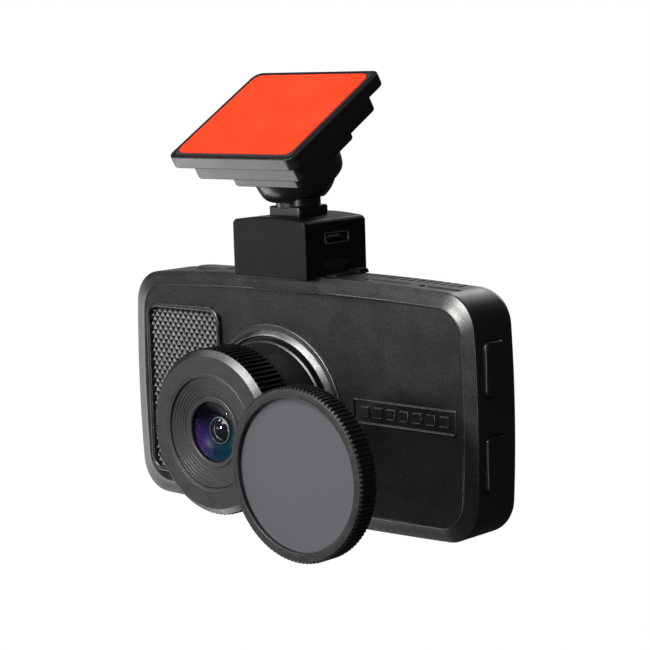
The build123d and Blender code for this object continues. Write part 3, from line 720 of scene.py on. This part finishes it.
def make_casing():
    rings = cover_rings()
    front = [Vector((p.x, p.y)) for p in rings[-1]]
    back = [Vector((p.x, p.y)) for p in rings[0]]
    lens_hole = circle((LENS_X, LENS_Z), LENS_HOLE_RADIUS)
    grille_hole = window(GRILLE_X, GRILLE_Z, GRILLE_LIP, 2.6)
    holes = [list(reversed(lens_hole)), list(reversed(grille_hole))]
    hole_walls = [skin([[Vector((p.x, p.y, y)) for p in hole] for y in (COVER_EDGE, 0.0)])
                  for hole in holes]
    shape = join(skin(rings), cap([front] + holes, 0.0), cap([back] + holes, COVER_EDGE), *hole_walls)
    piece("front_cover", moved(shape, FRONT), paint)

    outer = slab(body_outline(0), COVER_EDGE + SEAM, BODY_DEPTH, soft=0.16,
                 soft_high=BACK_EDGE_RADIUS, steps=8)
    cavity = slab(body_outline(WALL), 0, BACK_WALL_FRONT, soft=0)
    seat = slab(window(SCREEN_X, SCREEN_Z, -0.12, 5.0), 13.05, 16, soft=0)
    opening = slab(window((-38, 38), (7, 44), 0, 2.0), 10, 13.5, soft=0)
    slots = [rimmed_slot(x, VENT_Y, *VENT_SIZE) for x in vent_places()]
    slots += [rimmed_slot(*CARD_SLOT, *CARD_SLOT_SIZE), rimmed_slot(*VIDEO_SLOT, *VIDEO_SLOT_SIZE)]
    slots += [rimmed_slot(*POWER_BUTTON, POWER_SIZE[0] + HOLE_GAP, POWER_SIZE[1] + HOLE_GAP)]
    keys = []
    for z, length in BUTTONS.values():
        hole = centred(BUTTON_Y, z, BUTTON_WIDTH + HOLE_GAP, length + HOLE_GAP, 1.5)
        keys.append(slab(hole, 44, 50, SIDE, soft=0))
    wells = [lathe([(0, 12), (1.75, 12), (1.75, 16), (0, 16)], place, soft=0, steps=32)
             for place in SCREW_PLACES]
    piece("rear_shell", outer, shell_black,
          [cavity, opening, seat, join(*slots), join(*keys), join(*wells)])
    screen = slab(window(SCREEN_X, SCREEN_Z, 0, 4.9, 12), 13.15, 14.15, soft=0.05, soft_high=0.3)
    piece("screen_glass", screen, screen_black)
    heads = join(*[screw_head(x, z) for x, z in SCREW_PLACES])
    cuts = [join(*[bar((x - wide, x + wide), CROSS_Y, (z - long, z + long)) for x, z in SCREW_PLACES])
            for wide, long in ((CROSS_WIDE, CROSS_LONG), (CROSS_LONG, CROSS_WIDE))]
    piece("case_screws", heads, steel, cuts, sharp=40)


def screw_head(x, z):
    profile = [(0, 12.6), (0.8, 12.6), (0.8, 13.25), (1.65, 13.25), (1.65, 13.75), (1.2, 14.0),
               (0, 14.0)]
    return lathe(profile, (x, z), soft=0.08, steps=36)


def top_surface(x):
    """Height of the arched top at x."""
    return BODY_HEIGHT - BULGE_TOP * (x / (BODY_WIDTH / 2)) ** 2


def rimmed_slot(x, y, width, height):
    """A cutter for a slot in the arched top, wider at the surface so that its rim is broken."""
    surface = top_surface(x)
    levels = [(0.0, SLOT_FLOOR_Z), (0.0, surface - SLOT_RIM), (-SLOT_RIM, surface + 0.02),
              (-SLOT_RIM, surface + 3)]
    return stack(slot_shape(x, y, width, height, 6), levels)


def vent_places():
    return [start + VENT_PITCH * i for start, count in ((12.9, 13), (-21.5, 4)) for i in range(count)]


# ---------------- front face trim
def lens_clearance():
    radius = TRIM_RADIUS + SEAM
    return lathe([(0, -3), (radius, -3), (radius, 3), (0, 3)], (LENS_X, LENS_Z), soft=0, steps=180)


def knurl_field():
    """A closed plate whose front is a staggered field of small four-sided pyramids."""
    half_x, half_z = 0.82, 0.99             # half a pyramid's width and height
    valley, crest, back = 0.26, -0.1, 1.4   # y of the grooves, the tips and the rear face
    tip = 0.28                              # flat of a tip, as a share of the pyramid
    points, faces = [], []

    def vertex(x, y, z):
        points.append(Vector((x, z, y)))
        return len(points) - 1

    columns = int((GRILLE_X[1] - GRILLE_X[0]) / half_x) + 3
    rows = int((GRILLE_Z[1] - GRILLE_Z[0]) / half_z) + 3
    start_x, start_z = GRILLE_X[0] - half_x, GRILLE_Z[0] - half_z
    grid = {}

    def corner(i, j):
        if (i, j) not in grid:
            grid[i, j] = vertex(start_x + i * half_x, valley, start_z + j * half_z)
        return grid[i, j]

    for i in range(1, columns):
        for j in range(1, rows):
            if (i + j) % 2:
                continue
            x, z = start_x + i * half_x, start_z + j * half_z
            base = [corner(i + 1, j), corner(i, j + 1), corner(i - 1, j), corner(i, j - 1)]
            top = [vertex(x + half_x * tip, crest, z), vertex(x, crest, z + half_z * tip),
                   vertex(x - half_x * tip, crest, z), vertex(x, crest, z - half_z * tip)]
            for k in range(4):
                faces.append((base[k], base[(k + 1) % 4], top[(k + 1) % 4], top[k]))
            faces.append(tuple(top))
    return points, faces, back


def knurl_solid():
    """The knurl field with its sides and back closed."""
    points, faces, back = knurl_field()
    edit = bmesh.new()
    vertices = [edit.verts.new(p) for p in points]
    for face in faces:
        edit.faces.new([vertices[i] for i in face])
    rim = [edge for edge in edit.edges if edge.is_boundary]
    grown = bmesh.ops.extrude_edge_only(edit, edges=rim)["geom"]
    for item in grown:
        if isinstance(item, bmesh.types.BMVert):
            item.co.z = back
    bmesh.ops.holes_fill(edit, edges=[edge for edge in edit.edges if edge.is_boundary])
    edit.verts.index_update()
    solid = [v.co.copy() for v in edit.verts], [tuple(v.index for v in f.verts) for f in edit.faces]
    edit.free()
    return moved(solid, FRONT)


def make_front_trim():
    outer = window(GRILLE_X, GRILLE_Z, 0, 3.4)
    inner = window(GRILLE_X, GRILLE_Z, GRILLE_LIP + 0.2, 2.4)
    lip = slab(outer, -GRILLE_PROUD, 0.02, holes=[inner], soft=0.38, soft_high=0, steps=6)
    piece("grille_frame", lip, trim_paint, [lens_clearance()])
    inside = slab(window(GRILLE_X, GRILLE_Z, GRILLE_LIP + 0.2 + SEAM, 2.35), -0.5, 1.2, soft=0)
    piece("grille_plate", knurl_solid(), grille_black, [lens_clearance()], [inside], sharp=20)

    border = slab(window(BADGE_X, BADGE_Z, 0, 0.5), -BADGE_PROUD, 0.02, soft=0.16, soft_high=0,
                  holes=[window(BADGE_X, BADGE_Z, BADGE_BORDER, 0.2)])
    marks = [slab(centred(x, BADGE_BAR_Z, *BADGE_BAR, 0.35), -BADGE_PROUD, 0.02, soft=0.22, soft_high=0)
             for x in BADGE_BARS]
    piece("badge", join(border, *marks), trim_paint)


# ---------------- lens
def on_ring(axis, inner, outer):
    """A test of whether a point lies between two radii about an axis along Y."""
    return lambda point: inner < hypot(point.x - axis[0], point.z - axis[1]) < outer and point.y < -1e-3


def make_lens():
    axis = (LENS_X, LENS_Z)
    trim = [(17.0, 0.0), (17.0, -0.35), (17.6, -0.35), (17.66, -1.2), (17.84, -1.2), (18.1, -1.02),
            (18.75, -0.42), (18.85, -0.3), (19.82, -0.22), (19.86, -0.4), (19.96, -0.4),
            (TRIM_RADIUS, -0.24), (TRIM_RADIUS, 0.0)]
    bevel, rim = on_ring(axis, 17.62, 18.78), on_ring(axis, 19.87, 20.12)
    piece("lens_trim_ring", lathe(trim, axis, soft=0.05), lens_barrel_black,
          accent=(trim_metal, lambda point: bevel(point) or rim(point)))
    barrel = [(14.2, GRIP_FRONT_Y + 0.05), (15.9, GRIP_FRONT_Y + 0.05), (15.9, GRIP_REAR_Y),
              (BARREL_RADIUS, GRIP_REAR_Y), (BARREL_RADIUS, -2.15), (16.78, -1.8), (16.82, -1.6),
              (16.82, 0), (15.0, 0), (15.0, 3.2), (13.4, 3.2), (13.4, -6), (14.2, -7)]
    foot = on_ring(axis, 16.42, 16.81)
    piece("lens_barrel", lathe(barrel, axis, soft=0.06), lens_barrel_black, accent=(trim_metal, foot))
    grip = [(15.95, GRIP_FRONT_Y), (GRIP_RADIUS - 0.25, GRIP_FRONT_Y),
            (GRIP_RADIUS, GRIP_FRONT_Y + 0.35), (GRIP_RADIUS, GRIP_REAR_Y - 0.5),
            (GRIP_RADIUS - 0.35, GRIP_REAR_Y - SEAM), (15.95, GRIP_REAR_Y - SEAM)]
    ribs = {"count": 90, "depth": 0.55, "above": 16.55}
    piece("grip_ring", lathe(grip, axis, soft=0.08, ribs=ribs), grip_black, sharp=40)
    bezel = [(11.46, -17.78), (11.46, -18.72), (11.62, LENS_FACE_Y), (11.95, LENS_FACE_Y),
             (12.02, LENS_FACE_Y + 0.07), (12.12, LENS_FACE_Y + 0.07), (12.19, LENS_FACE_Y),
             (15.72, LENS_FACE_Y), (16.98, -17.78)]
    piece("front_bezel", lathe(bezel, axis, soft=0.06), lens_ring,
          accent=(bevel_metal, on_ring(axis, 15.78, 16.99)))
    piece("stepped_baffle", lathe(baffle_profile(), axis, soft=0.04), lens_ring)
    retainer = [(6.25, -17.75), (6.45, -17.98), (7.15, -18.05), (7.4, -17.9), (7.4, -16.6),
                (8.1, -16.6), (8.1, -16.1), (6.25, -16.1)]
    piece("glass_retainer", lathe(retainer, axis, soft=0.06), lens_ring)
    piece("front_glass", dome(6.2, -17.4, 1.1, 0.2, axis), front_element)
    # The cup behind the front glass carries the painted reflection of the coated lens.
    cup = [(6.15, -17.0), (5.6, -16.6), (4.6, -16.1), (3.6, -15.8), (2.75, -15.65), (2.75, -15.2),
           (6.2, -15.2), (6.2, -17.0)]
    piece("middle_glass", lathe(cup, axis, soft=0.03, steps=96), painted_lens_reflection)
    small = dome(2.55, -15.75, 1.0, 0.5, axis)
    collar = lathe([(2.5, -15.95), (2.62, -16.1), (2.85, -16.0), (2.9, -15.5), (2.5, -15.5)], axis,
                   soft=0.03, steps=96)
    piece("rear_glass", join(small, collar), inner_element,
          accent=(collar_grey, on_ring(axis, 2.56, 2.95)))


def baffle_profile():
    """The stepped funnel round the glass: fine ridges that fall towards the middle."""
    steps, inner, outer = 6, 7.45, 11.4
    profile = [(inner, -16.9), (inner, -17.85)]
    for i in range(steps):
        radius = inner + (outer - inner) * (i + 1) / steps
        depth = -17.85 - 0.75 * i / steps
        profile += [(radius - 0.14, depth), (radius - 0.06, depth - 0.125)]
    return profile + [(outer, -18.6), (outer, -17.65), (14.1, -17.65), (14.1, -16.9)]


# ---------------- buttons
def make_buttons():
    for node, (z, length) in BUTTONS.items():
        key = slab(centred(BUTTON_Y, z, BUTTON_WIDTH, length, 1.35), 45.5, BUTTON_FACE_X, SIDE,
                   soft=0.05, soft_high=0.6, steps=5)
        flange = slab(centred(BUTTON_Y, z, BUTTON_WIDTH + 1, length + 1.6, 1.5), 44.8, 45.5, SIDE,
                      soft=0.05)
        piece(node, join(key, flange), button_black)
    x, y = POWER_BUTTON
    key = slab(slot_shape(x, y, *POWER_SIZE), POWER_SHOULDER_Z, top_surface(x) + POWER_PROUD, UPRIGHT,
               soft=0.05, soft_high=0.3, steps=4)
    flange = slab(slot_shape(x, y, POWER_SIZE[0] + 1.4, POWER_SIZE[1] + 1.2), 47.3, POWER_SHOULDER_Z,
                  UPRIGHT, soft=0.05)
    piece("power_button", join(key, flange), button_black)


# ---------------- holder block
def block_outline(inset):
    """The block's front outline, moved in by inset; only the outer one has the lip below."""
    left, right = BLOCK_X - BLOCK_WIDTH / 2 + inset, BLOCK_X + BLOCK_WIDTH / 2 - inset
    side, cut, bottom = BLOCK_SIDE_Z - inset, 0.7, BLOCK_BOTTOM_Z if inset else BLOCK_LIP_Z
    rise = BLOCK_TOP_Z - BLOCK_SIDE_Z
    half = (right - left) / 2 - cut
    radius = arch(half, rise)
    middle = Vector((BLOCK_X, side + rise - radius))
    reach = acos((radius - rise) / radius)
    crown = arc(middle, radius, pi / 2 - reach, pi / 2 + reach, 24)
    low = [Vector((left, side - cut)), Vector((left, bottom)), Vector((right, bottom)),
           Vector((right, side - cut))]
    return crown + low


def make_holder():
    front, back = BLOCK_Y - BLOCK_DEPTH / 2, BLOCK_Y + BLOCK_DEPTH / 2
    outer = slab(soften(block_outline(0), 0.35, 4), front, back, soft=0.4, steps=4)
    inner = slab(block_outline(BLOCK_WALL), front + BLOCK_WALL, back - BLOCK_WALL, soft=0)
    neck = bar((-11.2, 8), (3.75, 9.85), (51, 53.05))
    head = bar((-11.2, 8), (2.45, 11.15), (53.0, 54.75))
    mouth_levels = [(0.0, 4.0), (0.0, BLOCK_RIGHT - 0.15), (-0.16, BLOCK_RIGHT + 0.02), (-0.16, 9.0)]
    port = moved(stack(centred(PORT_Y, PORT_Z, *PORT_MOUTH, 0.6), mouth_levels), SIDE)
    under = bar((-50, 50), (BLOCK_LIP_Y, 50), (40, BLOCK_BOTTOM_Z + 0.01))
    piece("holder_housing", outer, block_black, [under, inner, neck, head, port])

    shell = centred(PORT_Y, PORT_Z, *PORT_SHELL, 0.5)
    hollow = centred(PORT_Y, PORT_Z, *PORT_INSIDE, 0.35)
    tongue = slab(centred(PORT_Y, PORT_Z + 0.3, 3.6, 0.6, 0.1), 1.8, 6.2, SIDE, soft=0.05)
    back_wall = slab(centred(PORT_Y, PORT_Z, 7.4, 2.4, 0.4), 0.9, 2.0, SIDE, soft=0)
    tube = slab(shell, 0.9, BLOCK_RIGHT - 0.17, SIDE, holes=[hollow], soft=0.06)
    piece("usb_socket", join(tube, tongue, back_wall), socket_metal)

    collar = slab(centred(BLOCK_X, BLOCK_Y, 8.9, 8.9, 0.6), 62.6, 65.3, UPRIGHT, soft=0.05,
                  soft_high=0.35)
    neck_profile = [(0, 64.9), (4.7, 64.9), (4.7, 66.9), (3.0, 67.1), (3.0, 74.9), (2.5, 75.0),
                    (2.5, 75.6), (3.0, 75.7), (3.0, 76.2), (0, 76.2)]
    neck_bar = lathe(neck_profile, (BLOCK_X, BLOCK_Y), UPRIGHT, soft=0.15, steps=72)
    piece("stem", join(collar, neck_bar), mount_black)


# ---------------- windshield plate and ball joint
def sphere_band(radius, low, high, inner_radius, place):
    """A hollow band of a sphere between two heights, its inner side a sphere too."""
    outer = sphere_curve(radius, low, high, SPHERE_STEPS)
    inner = sphere_curve(inner_radius, high, low, SPHERE_STEPS)
    return lathe(outer + inner, (0, 0), place, soft=0.12, steps=120)


def sphere_curve(radius, start, end, steps):
    """(radius, height) points of a sphere's outline between two heights."""
    from_turn, to_turn = (pi / 2 - acos(start / radius)), (pi / 2 - acos(end / radius))
    turns = [from_turn + (to_turn - from_turn) * i / steps for i in range(steps + 1)]
    return [(radius * cos(a), radius * sin(a)) for a in turns]


def tier(width, height, radius, low, high, soft, soft_high):
    """One step of the windshield plate, between two heights above the ball."""
    outline = centred(0, 0, width, height, radius, 10)
    return slab(outline, low, high, PLATE, soft=soft, soft_high=soft_high, steps=4)


def plate_tray():
    """The plate with the shallow pocket that holds the foam, all edges softened."""
    outer = centred(0, 0, *PLATE_SIZE, 2.2, 10)
    pocket = centred(0, 0, *[side - 2 * PLATE_RIM for side in PLATE_SIZE], 1.3, 10)
    levels = [(outer, inset, height) for inset, height in edge_steps(TIER1_LOW, RIM_TOP, 0.35, 0.14, 4)]
    levels += [(pocket, -0.1, RIM_TOP), (pocket, 0.0, RIM_TOP - 0.1), (pocket, 0.0, FOAM_LOW)]
    rings = [level_ring(*level) for level in levels]
    ends = [cap([inset_loop(outer, levels[0][1])], TIER1_LOW), cap([pocket], FOAM_LOW)]
    return moved(join(skin(rings), *ends), PLATE)


def make_mount():
    lower = tier(*TIER3_SIZE, 1.9, TIER3_LOW, TIER2_LOW + 0.3, 0.35, 0)
    middle = tier(*TIER2_SIZE, 1.6, TIER2_LOW, TIER1_LOW - 0.05, 0.4, 0.12)
    hollow = [(0, -10), (CAVITY_RADIUS, -10), (CAVITY_RADIUS, 0.0)]
    hollow += sphere_curve(CAVITY_RADIUS, 0, 9.04, 20)
    cavity = lathe(hollow, (0, 0), PLATE, soft=0, steps=96)
    piece("base_block", middle, mount_black, [cavity], adds=[lower])
    piece("mount_plate", plate_tray(), mount_black)
    foam_size = [side - 2 * PLATE_RIM - 2 * SEAM for side in PLATE_SIZE]
    pad = piece("foam_tape", tier(*foam_size, 1.25, FOAM_LOW, LINER_LOW, 0.05, 0.12), foam)
    piece("release_liner", tier(*LINER_SIZE, 2.2, LINER_LOW, PAD_TOP, 0.0, 0.06), film)
    ring = sphere_band(SOCKET_OUTER, SOCKET_RIM, TIER3_LOW, BALL_RADIUS + 0.05, PLATE)
    piece("socket_ring", ring, mount_black)

    ball_place = Matrix.Translation(BALL_CENTRE)
    curve = sphere_curve(BALL_RADIUS, -6.0, 6.4, 40)
    bore = [(3.03, 6.4), (3.03, -5.0), (5.59, -6.0)]
    piece("ball", lathe(curve + bore, (0, 0), ball_place, soft=0.1, steps=120), mount_black)


# ---------------- polarising filter
def make_filter():
    axis = (FILTER_X, FILTER_Z)
    grip = [(FILTER_OPENING, -26.1), (FILTER_OPENING, FILTER_FRONT_Y + 0.15),
            (FILTER_OPENING + 0.15, FILTER_FRONT_Y), (FILTER_RADIUS - 0.5, FILTER_FRONT_Y),
            (FILTER_RADIUS, FILTER_FRONT_Y + 0.5), (FILTER_RADIUS, -22.75),
            (FILTER_RADIUS - 0.35, -22.35), (FILTER_OPENING, -22.35), (FILTER_OPENING, -23.5),
            (15.55, -23.5), (15.55, -26.1)]
    ribs = {"count": 112, "depth": 0.3, "above": FILTER_RADIUS - 0.36}
    piece("filter_grip_ring", lathe(grip, axis, soft=0.06, ribs=ribs), filter_ring_black, sharp=40)
    glass = [(0, -26.05), (15.35, -26.05), (15.5, -25.9), (15.5, -24.5), (0, -24.5)]
    piece("filter_glass", lathe(glass, axis, soft=0.0), filter_grey)
    rear = [(13.4, -23.45), (14.95, -23.45), (14.95, -22.3), (16.2, -22.3), (16.2, FILTER_REAR_Y),
            (13.4, FILTER_REAR_Y)]
    piece("filter_rear_ring", lathe(rear, axis, soft=0.12), filter_ring_black)


# ---------------- CAD nodes that stay
def finish_cad_nodes():
    """Gives every CAD node the material of its slot."""
    for node, thing in frame["nodes"].items():
        thing.data.materials.clear()
        thing.data.materials.append(SLOT_MATERIALS[node_slot[node]])


# ---------------- studio
# name, azimuth and elevation in degrees, distance and (width, height) in metres, watts
LIGHTS = [
    ("key_box", -6, 46, 0.9, (0.45, 0.35), 6.4),
    ("knurl_box", 20, 43, 0.9, (0.25, 0.25), 1.5),
    ("corner_box", -16, 11, 0.9, (0.15, 0.15), 5.6),
    ("edge_box", 36, -6, 0.9, (0.14, 0.14), 1.3),
    ("crease_box", -56, 38, 0.9, (0.14, 0.14), 1.2),
    ("front_strip", -38, 2, 0.9, (0.5, 0.12), 0.62),
    ("left_box", -80, -18, 0.8, (0.4, 0.6), 2.1),
    ("low_card", -75, -48, 0.8, (0.5, 0.5), 2.3),
    ("back_card", -138, 12, 0.9, (0.6, 0.5), 0.3),
    ("rear_box", -162, 24, 1.1, (0.5, 0.4), 3.0),
]
WORLD_GREY = (0.035, 0.035, 0.037, 1)
FLOOR_DROP, FLOOR_HALF, BACKDROP_RADIUS = 0.04, 6.0, 8.0    # metres
VIEW_AZIMUTH, VIEW_ELEVATION, VIEW_ROLL = 42.42, 7.87, -1.72
VIEW_TARGET, VIEW_DISTANCE, FOCAL_LENGTH = Vector((9.49, 0, 41.66)), 407.0, 110.6


def from_angle(azimuth, elevation, distance, target):
    """A point seen from the target at an azimuth (0 is -Y, 90 is +X) and elevation, in degrees."""
    a, e = radians(azimuth), radians(elevation)
    return target + distance * Vector((sin(a) * cos(e), -cos(a) * cos(e), sin(e)))


def soft_light(name, azimuth, elevation, distance, size, power, target):
    data = bpy.data.lights.new(name, "AREA")
    data.shape = "RECTANGLE"
    data.size, data.size_y = size
    data.energy = power
    light = bpy.data.objects.new(name, data)
    bpy.context.scene.collection.objects.link(light)
    light.location = from_angle(azimuth, elevation, distance, target)
    light.rotation_mode = "QUATERNION"
    light.rotation_quaternion = (target - light.location).to_track_quat("-Z", "Y")


def glow(name, strength):
    made = bpy.data.materials.new(name)
    made.use_nodes = True
    tree = made.node_tree
    tree.nodes.clear()
    output = tree.nodes.new("ShaderNodeOutputMaterial")
    emission = tree.nodes.new("ShaderNodeEmission")
    emission.inputs["Strength"].default_value = strength
    tree.links.new(emission.outputs["Emission"], output.inputs["Surface"])
    return made


def backdrop(name, mesh_builder):
    """A white stage piece that only the camera sees, so it sends no light back to the object."""
    mesh = bpy.data.meshes.new(name)
    edit = bmesh.new()
    mesh_builder(edit)
    edit.to_mesh(mesh)
    edit.free()
    thing = bpy.data.objects.new(name, mesh)
    bpy.context.scene.collection.objects.link(thing)
    thing.data.materials.append(glow(name + "_white", 1.0))
    for ray in ("diffuse", "glossy", "transmission", "volume_scatter", "shadow"):
        setattr(thing, "visible_" + ray, False)


def make_studio():
    low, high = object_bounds()
    centre = (low + high) / 2
    floor_place = Matrix.Translation((0, 0, low.z - FLOOR_DROP))

    def floor(edit):
        bmesh.ops.create_grid(edit, x_segments=1, y_segments=1, size=FLOOR_HALF, matrix=floor_place)

    def dome_shape(edit):
        bmesh.ops.create_uvsphere(edit, u_segments=48, v_segments=24, radius=BACKDROP_RADIUS)

    backdrop("floor", floor)
    backdrop("backdrop", dome_shape)
    world = bpy.data.worlds.new("studio")
    bpy.context.scene.world = world
    world.use_nodes = True
    world.node_tree.nodes["Background"].inputs["Color"].default_value = WORLD_GREY
    for light in LIGHTS:
        soft_light(*light, centre)


def make_camera():
    target = TO_ROW @ VIEW_TARGET
    data = bpy.data.cameras.new("camera")
    data.lens, data.sensor_width = FOCAL_LENGTH, 36.0
    data.clip_start, data.clip_end = 0.01, 50
    camera = bpy.data.objects.new("camera", data)
    bpy.context.scene.collection.objects.link(camera)
    camera.location = from_angle(VIEW_AZIMUTH, VIEW_ELEVATION, VIEW_DISTANCE * MM, target)
    camera.rotation_mode = "QUATERNION"
    aim = (target - camera.location).to_track_quat("-Z", "Y")
    camera.rotation_quaternion = aim @ Matrix.Rotation(radians(VIEW_ROLL), 4, "Z").to_quaternion()
    bpy.context.scene.camera = camera


make_casing()
make_front_trim()
make_lens()
make_buttons()
make_holder()
make_mount()
make_filter()
finish_cad_nodes()
make_camera()
make_studio()
bpy.context.scene.view_settings.view_transform = "Standard"
